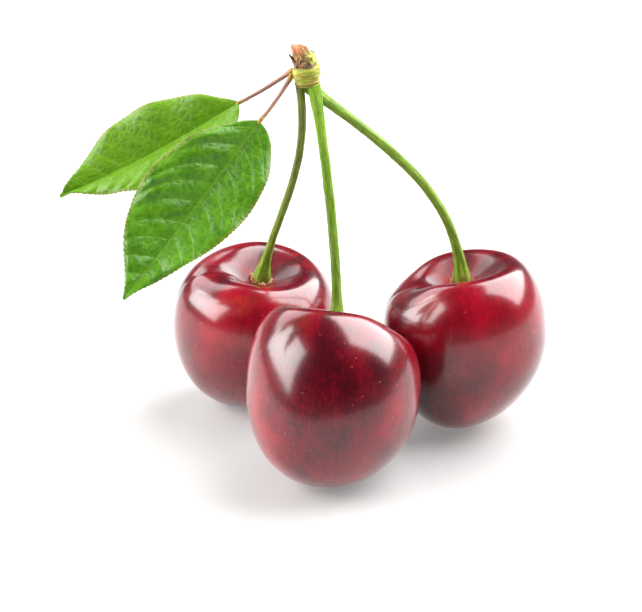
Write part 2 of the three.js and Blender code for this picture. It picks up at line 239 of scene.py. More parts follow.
def build_cherry(name, seed):
    cherry = CHERRIES[name]
    even = np.linspace(0, math.pi, CHERRY_RINGS + 2)
    polar = even * (0.65 + 0.35 * even / math.pi)  # closer rings in the funnel
    around = np.linspace(0, 2 * math.pi, CHERRY_SIDES, endpoint=False)
    around = (around + math.pi) % (2 * math.pi) - math.pi
    p = np.concatenate([[0.0], np.repeat(polar[1:-1], CHERRY_SIDES), [math.pi]])
    a = np.concatenate([[2.0], np.tile(around, CHERRY_RINGS), [2.0]])
    ray = np.stack([np.cos(a) * np.sin(p), np.sin(a) * np.sin(p), np.cos(p)], 1)
    radius = skin_radius(cherry, p, a)
    from_suture = np.abs(a) * np.sin(p) * radius
    crease = hill(from_suture, SUTURE_LINE["width"]) * smooth_step(0.5, 0.9, p)
    radius -= SUTURE_LINE["depth"] * crease
    radius -= TIP_SCAR["depth"] * hill(math.pi - p, TIP_SCAR["reach"])
    cheeks = smooth_step(0.35, 0.8, p) * (1 - smooth_step(2.6, 3.0, p))
    skin_place = ray * MEAN_RADIUS
    radius += cheeks * (
        BUMPY["broad"] * unevenness(skin_place, 9, seed) + BUMPY["fine"] * unevenness(skin_place, 3, seed + 1)
    )
    points = ray * radius[:, None]
    points[:, 0] += cherry["skew"] * (np.minimum(points[:, 2], 0) / cherry["tip"]) ** 2
    axis = leaning(*cherry["lean"])
    turn = math.radians(cherry["suture"])
    spin = np.array([[math.cos(turn), -math.sin(turn), 0], [math.sin(turn), math.cos(turn), 0], [0, 0, 1]])
    points = points @ (turn_up_to(axis) @ spin).T
    low, high = node_box(name)
    middle = (low + high) / 2 - (points.min(0) + points.max(0)) / 2
    middle[2] = high[2] - points[:, 2].max()
    towards_shaded_side = points @ unit(cherry["shaded_side"]) / np.linalg.norm(points, axis=1)
    from_shaded_side = np.arccos(np.clip(towards_shaded_side, -1, 1))
    points += middle
    points[:, 2] = np.maximum(points[:, 2], 0)
    marks = dict(
        grain=np.stack([MEAN_RADIUS * np.cos(a), MEAN_RADIUS * np.sin(a), MEAN_RADIUS * p], 1),
        funnel=hill(p, FUNNEL_REACH),
        cavity=1 - smooth_step(DULL_WITHIN, WAXY_BEYOND, p),
        # Painted shade: darker red on the side of the fruit that the lamps leave dim, and in a band round the
        # cavity
        painted_shade=np.maximum(
            cherry["deepest_shade"] * hill(from_shaded_side, SHADE_SPREAD),
            SHADED_RIM["depth"] * hill(p - SHADED_RIM["at"], SHADED_RIM["width"]),
        ),
        crease=crease,
        scar=hill(math.pi - p, TIP_SCAR["reach"] * 1.3),
    )
    add_piece(name + "_skin", points, tube_faces(CHERRY_RINGS, CHERRY_SIDES), marks, [name])
    placed[name] = dict(middle=middle, axis=axis, floor=middle + axis * cherry["crown"] * (1 - CAVITY_DEPTH))


for number, name in enumerate(CHERRIES):
    build_cherry(name, 10 * number + 3)
    print(name, "middle at", placed[name]["middle"].round(2))

# %% [markdown]
# ## The spur
# The spur is the short shoot that the stalks and leaves grow from: a yellow-green collar ringed by the scars of
# shed bud scales, and above it the stub of older wood where the bunch was pulled off the branch. Both are
# turned shapes, so their outline is spun round an axis, and unevenness then takes the lathe's perfection away.

# %% Where the spur stands
COLLAR_RADIUS, COLLAR_HEIGHT = 1.85, 2.8
COLLAR_AXIS = leaning(-6, 3)
STUB_RADIUS, STUB_HEIGHT = 1.5, 2.9
STUB_SWAY, STUB_SLANT = 0.8, 0.17
JOIN_GAP = 0.3  # between the CAD pieces. The finer pieces reach across it and meet
SPUR_OFFSET, SPUR_HEIGHT = np.array([-6.7, -3.9, 0]), 60.3  # from the middle of the fruits, and above the table
collar_foot = sum(spot["middle"] for spot in placed.values()) / 3 + SPUR_OFFSET
collar_foot[2] = SPUR_HEIGHT
print("collar foot", collar_foot.round(2))


def spin_outline(outline, radius, height, sides, rings):
    """A grid of points round an outline of [radius share, height share]. Also says how far up each point is, its
    angle, and its radius share."""
    outline = np.array(outline)
    length = np.concatenate([[0], np.cumsum(np.hypot(*np.diff(outline, axis=0).T))])
    along = np.linspace(0, length[-1], rings + 2)[1:-1]
    share = np.interp(along, length, outline[:, 0])
    level = np.interp(along, length, outline[:, 1])
    angle = np.linspace(0, 2 * math.pi, sides, endpoint=False)
    wide = np.concatenate([[0.0], np.repeat(share, sides), [0.0]])
    up = np.concatenate([[outline[0, 1]], np.repeat(level, sides), [outline[-1, 1]]])
    turned = np.concatenate([[0.0], np.tile(angle, rings), [0.0]])
    flat = np.stack([np.cos(turned) * wide * radius, np.sin(turned) * wide * radius, up * height], 1)
    return flat, up, turned, wide


# %% Build the collar
COLLAR_OUTLINE = [
    [0, -0.1], [0.84, -0.1], [0.98, 0.0], [1.04, 0.06], [1.04, 0.12], [0.96, 0.17], [0.95, 0.22], [1.05, 0.36],
    [1.17, 0.43], [1.19, 0.49], [1.1, 0.53], [1.09, 0.58], [1.13, 0.66], [1.1, 0.8], [1.0, 0.94], [0.84, 1.05],
    [0.7, 1.1], [0, 1.1],
]
COLLAR_SIDES, COLLAR_RINGS = 128, 90
flat, up, turned, wide = spin_outline(COLLAR_OUTLINE, COLLAR_RADIUS, COLLAR_HEIGHT, COLLAR_SIDES, COLLAR_RINGS)
outside = smooth_step(0.6, 0.95, wide)[:, None]
bumps = 0.035 * unevenness(flat, 1.6, 21) + 0.012 * unevenness(flat * [1, 1, 3], 0.5, 22)
swell = 1 + outside * bumps[:, None]
ring_dip = 0.12 * outside[:, 0] * np.sin(turned + 0.6) * (0.3 + up)  # the rings lie aslant, not level
collar_points = flat * swell * [1, 1, 0] + (flat[:, 2] + ring_dip)[:, None] * [0, 0, 1]
collar_points = collar_points @ turn_up_to(COLLAR_AXIS).T + collar_foot
# Each scar: its strength, how far up it is, and its width
SCAR_RINGS = ((1, 0.06, 0.07), (0.8, 0.52, 0.035), (0.35, 0.2, 0.03), (1, 1.04, 0.08))
scar_ring = sum(strength * hill(up - level, width) for strength, level, width in SCAR_RINGS)
collar_marks = dict(grain=flat, scar_ring=np.clip(scar_ring, 0, 1))
collar_faces = tube_faces(COLLAR_RINGS, COLLAR_SIDES)
add_piece("collar_flesh", collar_points, collar_faces, collar_marks, ["spur_collar"])
print_fit("spur_collar", collar_points)

# %% [markdown]
# The stub was torn, not cut. Its side is folded bark with slanting wrinkles, and its top is a ragged break
# where fibres stand up in splinters. Raising each strip of the rim by its own random amount gives the ragged
# break, and it needs no extra pieces.

# %% Build the torn stub
STUB_OUTLINE = [
    [0, -0.14], [0.95, -0.14], [1.16, -0.02], [1.18, 0.08], [1.1, 0.18], [1.12, 0.28], [1.0, 0.42], [0.94, 0.55],
    [0.84, 0.75], [0.76, 0.92], [0.68, 1.0], [0.5, 0.97], [0.3, 0.9], [0, 0.86],
]
STUB_SIDES, STUB_RINGS = 144, 96
SPLINTERS = 26
stub_foot = collar_foot + COLLAR_AXIS * (COLLAR_HEIGHT + JOIN_GAP)
flat, up, turned, wide = spin_outline(STUB_OUTLINE, STUB_RADIUS, STUB_HEIGHT, STUB_SIDES, STUB_RINGS)
random = np.random.default_rng(77)
tall = random.uniform(-1, 1, SPLINTERS)
strip = turned / (2 * math.pi) * SPLINTERS
tallness = np.interp(strip, np.arange(SPLINTERS + 1), np.append(tall, tall[0]))
fibre = unevenness(np.stack([np.cos(turned), np.sin(turned), up * 0.12], 1) * 6, 0.55, 31)
rind = smooth_step(0.5, 0.75, wide)
wrinkle = np.sin(up * 26 - 1.8 * np.sin(turned + 0.9) + 3.2 * unevenness(flat, 0.6, 33))
lower = 1 - smooth_step(0.42, 0.62, up)
bark = 0.05 * fibre * (1 - 0.5 * lower) + 0.04 * wrinkle * lower + 0.03 * unevenness(flat, 0.8, 34)
bulge = 1 + rind * bark
stub_points = flat * [1, 1, 0] * bulge[:, None]
core = unevenness(flat * [1, 1, 0], 0.35, 36) * (1 - rind) * smooth_step(0.5, 0.9, up)
rise = 0.085 * tallness * STUB_HEIGHT * smooth_step(0.72, 1.0, up) * rind + 0.1 * core
slant = STUB_SLANT * np.clip(up, 0, 1) ** 3 * (flat[:, 0] + STUB_RADIUS)
stub_points[:, 2] = flat[:, 2] + rise - slant
stub_points = stub_points @ turn_up_to(COLLAR_AXIS).T + stub_foot
stub_points[:, 0] -= STUB_SWAY * np.clip(up, 0, 1) ** 1.5
bark_crack = lower * rind * (0.25 - 0.75 * wrinkle) * (0.6 + 0.6 * unevenness(flat, 0.7, 39))
fibre_crack = (1 - lower) * (0.1 - 0.5 * fibre)
stub_marks = dict(
    grain=np.stack([np.cos(turned) * 1.3, np.sin(turned) * 1.3, flat[:, 2]], 1),
    torn=smooth_step(0.5, 0.75, up) * (0.2 + 0.8 * smooth_step(-0.5, 0.35, -np.cos(turned - 0.4))),
    crack=np.clip(bark_crack + fibre_crack, 0, 1),
    greening=smooth_step(0.25, 0.85, np.cos(turned + 0.15)) * (1 - smooth_step(0.4, 0.85, up)),
)
add_piece("stub_wood", stub_points, tube_faces(STUB_RINGS, STUB_SIDES), stub_marks, ["spur_stub"])
print_fit("spur_stub", stub_points)

# %% [markdown]
# Dry bud scales still cling round the joint of stub and collar. Each is a thin brown flake that hugs the wood
# at its foot and curls away at its tip. A grid bent over a cylinder, with a back and a front, makes a flake
# with real thickness.


# %% Sheets with a front, a back and an edge
def sheet_faces(rows, columns):
    """Faces of a thin closed sheet: a front grid, a back grid after it, and a strip round the edge."""
    count = rows * columns
    grid = np.arange(count).reshape(rows, columns)
    a, b, c, d = grid[:-1, :-1].ravel(), grid[1:, :-1].ravel(), grid[1:, 1:].ravel(), grid[:-1, 1:].ravel()
    front = np.stack([a, b, c, d], 1)
    back = np.stack([a, d, c, b], 1) + count
    edge = np.concatenate([grid[:, 0], grid[-1, 1:], grid[-2::-1, -1], grid[0, -2:0:-1]])
    after = np.roll(edge, -1)
    strip = np.stack([after, edge, edge + count, after + count], 1)
    return np.concatenate([front, back, strip]).tolist()


print("a sheet of 3 by 3 points has", len(sheet_faces(3, 3)), "faces")

# %% Build the bud scales
SCALE = dict(length=1.75, width=1.9, thickness=0.16, flare=0.55)
SCALE_ROWS, SCALE_COLUMNS = 26, 23


def build_bud_scale(name, bearing, share, seed):
    out = heading(bearing)
    across = np.cross(out, [0, 0, 1])
    wall = STUB_RADIUS + 0.35
    foot = collar_foot + COLLAR_AXIS * (COLLAR_HEIGHT - 0.15) + out * (wall - 0.1)
    row, column = every_pair(np.linspace(0, 1, SCALE_ROWS), np.linspace(-1, 1, SCALE_COLUMNS))
    ragged = 1 + 0.12 * unevenness(np.stack([column * 2, row * 0, row * 0], 1), 0.5, seed)
    wide = column * SCALE["width"] * share / 2 * (1 - 0.8 * row**1.7) * (1 + 0.25 * np.sin(row * math.pi))
    sheets = []
    for side in (1, -1):
        lift = SCALE["flare"] * share * row**2 - wide**2 / (2 * wall)
        lift = lift + side * SCALE["thickness"] / 2 * (1 - 0.6 * row)
        lift = lift + 0.05 * unevenness(np.stack([wide, row * 2, row * 0], 1), 0.4, seed + 5)
        length = (row * ragged * SCALE["length"] * share)[:, None]
        sheets.append(foot + across * wide[:, None] + out * lift[:, None] + COLLAR_AXIS * length)
    points = np.concatenate(sheets)
    marks = dict(
        grain=np.tile(np.stack([wide, row * 1.7, row * 0], 1), (2, 1)),
        tipness=np.tile(row, 2),
    )
    faces = sheet_faces(SCALE_ROWS, SCALE_COLUMNS)
    add_piece(name.replace("bud_scale", "dry_scale"), points, faces, marks, [name])


# Bearing, and share of the full size. The front scale has crumbled.
SCALE_PLACES = {"bud_scale_left": (190, 1), "bud_scale_front": (285, 0.65), "bud_scale_back": (60, 1)}
for number, (name, (bearing, share)) in enumerate(SCALE_PLACES.items()):
    build_bud_scale(name, bearing, share, 41 + number)

# %% [markdown]
# ## The stalks
# A cherry stalk is a fleshy green rod, not quite round: five or six soft ridges run along it, it widens where
# it grips the fruit and again where it leaves the spur. A curve object with a bevel would give a round tube.
# Sweeping rings of points along a Bezier curve lets each ring have its own ridges and its own radius.


# %% Sweep rings along a curve
def bezier(controls, steps=600):
    """Points along a Bezier curve, and how far along it each of them is."""
    t = np.linspace(0, 1, steps)[:, None]
    rows = [np.asarray(c, float) for c in controls]
    while len(rows) > 1:
        rows = [a * (1 - t) + b * t for a, b in zip(rows, rows[1:])]
    line = rows[0]
    reach = np.concatenate([[0], np.cumsum(np.linalg.norm(np.diff(line, axis=0), axis=1))])
    return line, reach


def sweep(controls, radius_at, start, finish, rings, sides):
    """Rings of points round a curve, from `start` before its first point to `finish` past its last. radius_at
    takes the distance along and the angle round. Returns the points with both values for each of them."""
    line, reach = bezier(controls)
    length = reach[-1]
    along = np.linspace(-start, length + finish, rings)
    inside = np.clip(along, 0, length)
    centre = np.stack([np.interp(inside, reach, line[:, k]) for k in range(3)], 1)
    tangent = np.gradient(line, axis=0)
    tangent = np.stack([np.interp(inside, reach, tangent[:, k]) for k in range(3)], 1)
    tangent /= np.linalg.norm(tangent, axis=1)[:, None]
    centre += tangent * (along - inside)[:, None]
    side = np.cross([0.0, 1.0, 0.0], tangent)
    side /= np.linalg.norm(side, axis=1)[:, None]
    other = np.cross(tangent, side)
    angle = np.linspace(0, 2 * math.pi, sides, endpoint=False)
    s, a = np.repeat(along, sides), np.tile(angle, rings)
    r = radius_at(s, a, length)
    ring = np.repeat(side, sides, 0) * np.cos(a)[:, None] + np.repeat(other, sides, 0) * np.sin(a)[:, None]
    skin = np.repeat(centre, sides, 0) + ring * r[:, None]
    points = np.concatenate([centre[:1], skin, centre[-1:]])
    s = np.concatenate([[along[0]], s, [along[-1]]])
    a = np.concatenate([[0.0], a, [0.0]])
    return points, s, a, length


print("a curve round one corner is", bezier([(1, 0, 0), (1, 1, 0), (0, 1, 0)])[1][-1].round(2), "long")

# %% Build the stalks
# head and flare: how much wider the stalk gets at the spur and at the fruit. rise and reach: how far it keeps its
# first and its last direction. splay: how it leaves the spur. browning: how olive-brown it is at spur and fruit.
STALKS = {
    "stalk_front": dict(
        radius=0.72, head=0.35, flare=0.95, rise=9, reach=13, bearing=-40, splay=(9, -3), browning=(0.0, 0.3),
    ),
    "stalk_left": dict(
        radius=0.6, head=0.05, flare=1.45, rise=13, reach=15, bearing=200, splay=(6, 11), browning=(0.8, 0.35),
    ),
    "stalk_right": dict(
        radius=0.75, head=0.3, flare=0.95, rise=15, reach=15.5, bearing=80, splay=(50, 12), browning=(0.25, 0.3),
    ),
}
FLARE_LENGTH, SOCKET_GAP = 2.2, 0.2
STALK_SIDES, STALK_RINGS = 48, 220
widest_top = max(stalk["radius"] * (1 + stalk["head"]) for stalk in STALKS.values())
socket_circle = (2 * widest_top + SOCKET_GAP) / math.sqrt(3)


def build_stalk(name, seed):
    stalk, cherry = STALKS[name], placed[name.replace("stalk", "cherry")]
    slant = math.sin(math.radians(math.hypot(*stalk["splay"])))
    out = turn_up_to(COLLAR_AXIS) @ (heading(stalk["bearing"]) * socket_circle)
    edge = stalk["radius"] * (1 + stalk["head"]) * slant
    socket = collar_foot + out - COLLAR_AXIS * (JOIN_GAP + edge)
    foot = cherry["floor"] + cherry["axis"] * 2 * JOIN_GAP
    downwards = leaning(*stalk["splay"]) * [1, 1, -1]
    controls = [foot, foot + cherry["axis"] * stalk["rise"], socket + downwards * stalk["reach"], socket]

    def radius_at(s, a, length):
        from_foot, from_top = np.maximum(s, 0), np.maximum(length - s, 0)
        foot_flare = 0.6 * hill(from_foot, FLARE_LENGTH) + 0.4 * hill(from_foot, 2 * FLARE_LENGTH)
        widening = 1 + stalk["flare"] * foot_flare + stalk["head"] * hill(from_top, 2 * FLARE_LENGTH)
        near_foot, near_top = hill(from_foot, 3), hill(from_top, 3)
        twist = 0.05 * s + seed
        ridges = 0.028 * np.cos(5 * (a + twist)) + 0.012 * np.cos(13 * (a + twist) + seed)
        place = np.stack([np.cos(a) * 0.8, np.sin(a) * 0.8, s * 0.35], 1)
        lumps = 0.035 * unevenness(place, 0.9, seed + 60) + 0.02 * unevenness(place * [1, 1, 3], 0.5, seed + 61)
        flute_place = np.stack([np.cos(a), np.sin(a), s * 0.25], 1) * 2
        flutes = 0.13 * near_foot * unevenness(flute_place, 0.9, seed + 62)
        return stalk["radius"] * (widening + (ridges + lumps) * (1 + near_foot + near_top) + flutes)

    points, s, a, length = sweep(controls, radius_at, 0.75, edge + 0.35, STALK_RINGS, STALK_SIDES)
    share = np.clip(s / length, 0, 1)
    at_top, at_foot = stalk["browning"]
    browning = at_foot + (at_top - at_foot) * smooth_step(0.1, 0.9, share)
    marks = dict(
        grain=np.stack([np.cos(a) * 0.75, np.sin(a) * 0.75, s], 1),
        browning=browning,
        ragged=hill(np.maximum(s, 0), 0.9) * (0.6 + 0.4 * np.cos(6 * a + seed)),
    )
    add_piece(name + "_flesh", points, tube_faces(STALK_RINGS, STALK_SIDES), marks, [name])
    print(name, "length", round(length, 1))
    print_fit(name, points)
    return foot, cherry["axis"]


stalk_feet = {name: build_stalk(name, number + 1) for number, name in enumerate(STALKS)}

# %% [markdown]
# Round the foot of each stalk the fruit's skin ends in a torn, corky ring with red flecks. The ring could be
# painted on, but its ragged lip catches the light. It is a low, lumpy wreath: a torus grid whose thickness
# changes with the angle.

# %% Build the torn rings
WREATH = dict(width=1.1, thickness=0.34, lift=0.12, sunk=0.45)  # width is a share of the stalk's foot
WREATH_SIDES, WREATH_TURNS = 20, 180


def build_wreath(stalk_name, seed):
    foot, axis = stalk_feet[stalk_name]
    stalk = STALKS[stalk_name]
    radius = stalk["radius"] * (1 + stalk["flare"]) * WREATH["width"]
    turns, sides = (np.linspace(0, 2 * math.pi, count, endpoint=False) for count in (WREATH_TURNS, WREATH_SIDES))
    turn, round_it = every_pair(turns, sides)
    place = np.stack([np.cos(turn), np.sin(turn), 0 * turn], 1)
    swelling = 0.7 + 0.45 * unevenness(place * 3, 0.9, seed) + 0.25 * unevenness(place * 9, 0.9, seed + 1)
    thick = np.maximum(WREATH["thickness"] * swelling, 0.1)
    spread = radius * (1 + 0.11 * unevenness(place * 2, 0.9, seed + 2))
    lump = 1 + 0.2 * unevenness(np.stack([np.cos(turn) * 4, np.sin(turn) * 4, round_it], 1), 0.6, seed + 3)
    flat = place * (spread + thick * np.cos(round_it) * lump)[:, None]
    flat[:, 2] = WREATH["lift"] + thick * np.sin(round_it) * 0.75 * lump
    points = flat @ turn_up_to(axis).T + foot - axis * WREATH["sunk"]
    grid = np.arange(WREATH_TURNS * WREATH_SIDES).reshape(WREATH_TURNS, WREATH_SIDES)
    ahead, beside = np.roll(grid, -1, 0), np.roll(grid, -1, 1)
    faces = np.stack([grid, ahead, np.roll(ahead, -1, 1), beside], 2).reshape(-1, 4).tolist()
    marks = dict(grain=flat, redness=smooth_step(-0.2, 0.8, np.cos(round_it)))
    add_piece(stalk_name.replace("stalk", "torn_ring"), points, faces, marks, ())


for number, stalk_name in enumerate(STALKS):
    build_wreath(stalk_name, 81 + 7 * number)

# %% [markdown]
# ## The leaves
# A sweet cherry's leaf is a pointed oval, folded up along its midrib. Eight to ten pairs of veins leave the
# midrib, bend towards the tip and loop just inside the edge, and the blade bulges between them. The edge has
# fine teeth that lean towards the tip. All of that is worked out for a flat leaf first: how far along, how far
# across. The flat leaf is then folded, twisted and bowed exactly as the CAD blade is.

# %% Leaf sizes
UPPER_LEAF = dict(
    root=(0, 0.6, 0.2), base=(-7.6, 1, -4.6), tip=(-34.7, -3.5, -18), face=(-0.3, -0.7, 0.75), halves=(7.6, 8.2),
    fold=24, twist=(-4, 6), bulges=(0.16, 0.3), yellowness=0.5,
)
LOWER_LEAF = dict(
    root=(0.1, -0.6, -0.4), base=(-4.3, -5.3, -5.45), tip=(-23.55, -22.4, -26.6), face=(0.1, -0.8, 0.6),
    halves=(8.9, 7.5), fold=22, twist=(-8, 10), bulges=(0.5, 0.13), yellowness=0.1,
)
HALF_POWERS = (1.13, 0.85)
LEAF_SAG, EDGE_ROLL, PETIOLE_RADIUS, PETIOLE_LEVEL = 1.2, 0.35, 0.36, 0.46
PETIOLE_BOW = (0.3, 0, -0.2)
LEAF_OUTLINE = [
    (0, 0.06), (0.03, 0.28), (0.1, 0.58), (0.22, 0.86), (0.38, 1), (0.52, 0.99), (0.65, 0.84), (0.77, 0.61),
    (0.87, 0.33), (0.94, 0.14), (1, 0.03),
]
leaf_origin = (
    collar_foot
    + COLLAR_AXIS * PETIOLE_LEVEL * COLLAR_HEIGHT
    + [-1.05 * COLLAR_RADIUS - JOIN_GAP - PETIOLE_RADIUS, 0, 0]
)


def smooth_outline(corners, samples=200):
    """A Catmull-Rom curve through the corners, as two arrays."""
    corners = [np.array(c, float) for c in corners]
    spots = []
    for number in range(samples + 1):
        at = (len(corners) - 1) * number / samples
        index = min(int(at), len(corners) - 2) if number < samples else len(corners) - 1
        t = at - index
        a = corners[index if index == 0 else index - 1]
        b = corners[index]
        c = corners[min(index + 1, len(corners) - 1)]
        d = corners[min(index + 2, len(corners) - 1)]
        v, w = (c - a) / 2, (d - b) / 2
        spots.append((2 * b - 2 * c + v + w) * t**3 + (-3 * b + 3 * c - 2 * v - w) * t**2 + v * t + b)
    return np.array(spots).T


outline_along, outline_width = smooth_outline(LEAF_OUTLINE)
print("leaf origin", leaf_origin.round(2), "widest at", outline_along[outline_width.argmax()].round(2))

# %% [markdown]
# The veins are lines in the flat leaf. A side vein starts at its place on the midrib and drifts towards the
# tip as it goes outwards, so subtracting that drift from a point's distance along gives the place on the
# midrib that its vein would come from. How far that is from the nearest real vein says how close the point is
# to a vein, and the same number makes both the furrow in the mesh and the pale line in the material.


# %% Veins and teeth
VEIN_PAIRS = 9
VEIN_FURROW = 0.05
TOOTH_LENGTH, TOOTH_HEIGHT, TOOTH_SLOPE = 0.66, 0.18, 0.72


def vein_distance(along, across, half_width, length, seed):
    """Distance in mm from each point of the flat leaf to the nearest side vein, and how far between two it is."""
    random = np.random.default_rng(seed)
    starts = length * (0.03 + 0.93 * (np.arange(-4, VEIN_PAIRS + 2) / VEIN_PAIRS))
    starts = starts + random.uniform(-0.4, 0.4, VEIN_PAIRS + 6)
    out = np.abs(across)
    drift = 0.5 * out + 0.62 * out**3 / half_width**2
    slope = 0.5 + 1.86 * out**2 / half_width**2
    source = along - drift
    index = np.clip(np.searchsorted(starts, source), 1, len(starts) - 1)
    before, after = starts[index - 1], starts[index]
    nearest = np.minimum(source - before, after - source)
    between = np.clip((source - before) / (after - before), 0, 1)
    return np.abs(nearest) / np.sqrt(1 + slope**2), between


def tooth_shape(along):
    """The height of the saw-toothed edge, 0 to 1: a slow rise and a steep drop."""
    share = (along / TOOTH_LENGTH + 0.25 * np.sin(along * 1.3)) % 1
    return np.where(share < TOOTH_SLOPE, share / TOOTH_SLOPE, (1 - share) / (1 - TOOTH_SLOPE))


print("tooth heights 0.1 mm apart:", tooth_shape(np.arange(7) / 10).round(2))

# %% The flat leaf
LEAF_ROWS, LEAF_COLUMNS = 300, 139
TOOTH_BAND = (0.86, 1.0)  # the shares of the way out between which the edge thins and the teeth rise
VEIN_WIDTH, MIDRIB_WIDTH = 0.08, 0.17


def flat_blade(leaf, length, seed):
    """The blade before it is folded. For each point: the shares of the way along and out, the millimetres across,
    the half width there, the tooth, the relief in front, the ribs behind, and the marks for the finish."""
    u, v = every_pair(np.linspace(0, 1, LEAF_ROWS), np.linspace(-1, 1, LEAF_COLUMNS))
    v = np.sign(v) * np.abs(v) ** 1.1  # closer columns at the midrib
    inner, halves = np.abs(v), (v < 0, v >= 0)
    along = u * length
    reach = np.zeros(len(u))
    for mine, power, widest in zip(halves, HALF_POWERS, leaf["halves"]):
        reach[mine] = widest * np.interp(u[mine] ** power, outline_along, outline_width)
    edge = smooth_step(*TOOTH_BAND, inner)
    ends = smooth_step(0, 0.06, u) * (1 - smooth_step(0.95, 1, u))
    tooth = TOOTH_HEIGHT * tooth_shape(along + 0.37 * (v < 0)) * edge * ends
    across = np.sign(v) * (reach * inner + tooth - 0.1 * edge)
    near, between = np.zeros(len(u)), np.zeros(len(u))
    for half, (mine, widest) in enumerate(zip(halves, leaf["halves"])):
        near[mine], between[mine] = vein_distance(along[mine], across[mine], widest, length, seed + half)
    fade = (1 - smooth_step(0.8, 0.97, inner)) * (1 - smooth_step(0.93, 1, u))
    side_vein = hill(near, VEIN_WIDTH) * fade * (1 - 0.45 * inner)
    midrib = hill(across, MIDRIB_WIDTH - 0.09 * u)
    place = np.stack([along, across, 0 * u], 1)
    bulge = np.sin(between * math.pi) ** 1.2 * smooth_step(0, 0.25, inner) * (1 - smooth_step(0.75, 1, inner))
    bulge *= 0.6 + 0.4 * unevenness(place, 4, seed + 9)
    ripple = 0.014 * unevenness(place, 0.8, seed + 3) * (1 - side_vein)
    wave = 0.35 * np.sin(along * 0.75 + seed) * inner**3 + 0.25 * unevenness(place, 7, seed + 5) * inner
    relief = np.where(v < 0, *leaf["bulges"]) * bulge * ends - VEIN_FURROW * (side_vein + midrib)
    relief = relief + ripple + wave * ends
    rib = 0.42 * hill(across, 0.35 - 0.18 * u) * (1 - 0.75 * u) + 0.07 * hill(near, 0.2) * fade
    marks = dict(grain=place, vein=side_vein, midrib=midrib, edge=smooth_step(0.9, 1.0, inner))
    return u, inner, across, reach, tooth, relief, rib, marks


print("one side of a leaf has", LEAF_ROWS * LEAF_COLUMNS, "points")

# %% [markdown]
# Folding comes last. Each half is tilted up along the midrib, the whole blade is twisted a little more with each
# step towards the tip, and the midrib sags in the middle. The back of the blade is the same sheet a fifth of a
# millimetre lower, with the midrib and the veins standing out of it.

# %% Fold and build the leaves
BLADE_THICKNESS, TOOTH_LEAN = 0.22, 0.35


def build_leaf(name, leaf, seed):
    run = np.array(leaf["tip"], float) - leaf["base"]
    length = np.linalg.norm(run)
    forward = unit(run)
    side = unit(np.cross(leaf["face"], forward))
    up = np.cross(forward, side)
    u, inner, across, reach, tooth, relief, rib, marks = flat_blade(leaf, length, seed)
    first = JOIN_GAP + PETIOLE_RADIUS
    ahead = first - 0.5 * (1 - smooth_step(0, 0.1, u)) + (length - first) * u + TOOTH_LEAN * tooth
    tilt = math.radians(leaf["fold"])
    twist = np.radians(leaf["twist"][0] + (leaf["twist"][1] - leaf["twist"][0]) * u)
    half_thick = BLADE_THICKNESS / 2 * (1 - 0.55 * smooth_step(*TOOTH_BAND, inner))
    x = across * math.cos(tilt)
    sheets = []
    for skin in (relief + half_thick, relief - half_thick - rib):
        fold = reach * (inner - EDGE_ROLL * inner**4) * math.sin(tilt) + skin
        turned_x = x * np.cos(twist) - fold * np.sin(twist)
        bow = x * np.sin(twist) + fold * np.cos(twist) - LEAF_SAG * np.sin(math.pi * u)
        base = leaf_origin + leaf["base"] + ahead[:, None] * forward
        sheets.append(base + turned_x[:, None] * side + bow[:, None] * up)
    points = np.concatenate(sheets)
    marks = {word: np.concatenate([values, values]) for word, values in marks.items()}
    marks.update(yellowness=np.full(len(points), leaf["yellowness"]), under=np.repeat([0.0, 1.0], len(u)))
    faces = sheet_faces(LEAF_ROWS, LEAF_COLUMNS)
    add_piece(name.replace("leaf", "blade"), points, faces, marks, [name])
    print_fit(name, points)


build_leaf("leaf_upper", UPPER_LEAF, 5)
build_leaf("leaf_lower", LOWER_LEAF, 15)

# %% [markdown]
# The petiole is the leaf's own stalk: thin, mauve-brown, with a groove along its top. Where it meets the blade
# it turns yellow and carries two small glands, the swellings that cherry leaves feed ants from.

# %% Build the petioles
PETIOLE_SIDES, PETIOLE_RINGS = 28, 110


def build_petiole(name, leaf, seed):
    start, end = leaf_origin + leaf["root"], leaf_origin + leaf["base"]
    middle = (start + end) / 2 + PETIOLE_BOW

    def radius_at(s, a, length):
        share = np.clip(s / length, 0, 1)
        glands = 0.3 * hill(length - 0.7 - s, 0.3) * hill(np.sin((a - 0.6) / 2), 0.35)
        glands += 0.25 * hill(length - 1.3 - s, 0.25) * hill(np.sin((a - 2.9) / 2), 0.35)
        joint = 0.15 * hill(length - s, 0.7) + 0.25 * hill(np.maximum(s, 0), 0.6)
        joint = joint - 0.5 * smooth_step(length, length + 0.6, s)
        groove = -0.1 * hill(np.sin((a - 1.57) / 2), 0.2)
        lumps = 0.05 * unevenness(np.stack([np.cos(a), np.sin(a), s], 1), 0.9, seed)
        return 0.85 * PETIOLE_RADIUS * (1.1 - 0.25 * share) * (1 + glands + joint + groove + lumps)

    points, s, a, length = sweep([start, middle, end], radius_at, 0.75, 0.6, PETIOLE_RINGS, PETIOLE_SIDES)
    at_joints = smooth_step(length - 1.0, length - 0.4, s) + 0.5 * hill(np.maximum(s, 0), 0.45)
    marks = dict(
        grain=np.stack([np.cos(a) * PETIOLE_RADIUS, np.sin(a) * PETIOLE_RADIUS, s], 1),
        yellowing=np.clip(at_joints, 0, 1),
        gland=hill(length - 0.2 - s, 0.35),
    )
    add_piece(name + "_rind", points, tube_faces(PETIOLE_RINGS, PETIOLE_SIDES), marks, [name])
    print_fit(name, points)


build_petiole("petiole_upper", UPPER_LEAF, 51)
build_petiole("petiole_lower", LOWER_LEAF, 52)

# %% [markdown]
# ## Finishes
# Each material starts from what the real surface is. Colours are written the way a painter would read them off
# a chart, as sRGB hex, and one function turns them to the linear values that light is worked out in. One more
# small function adds a node, with its settings and links in the same call.


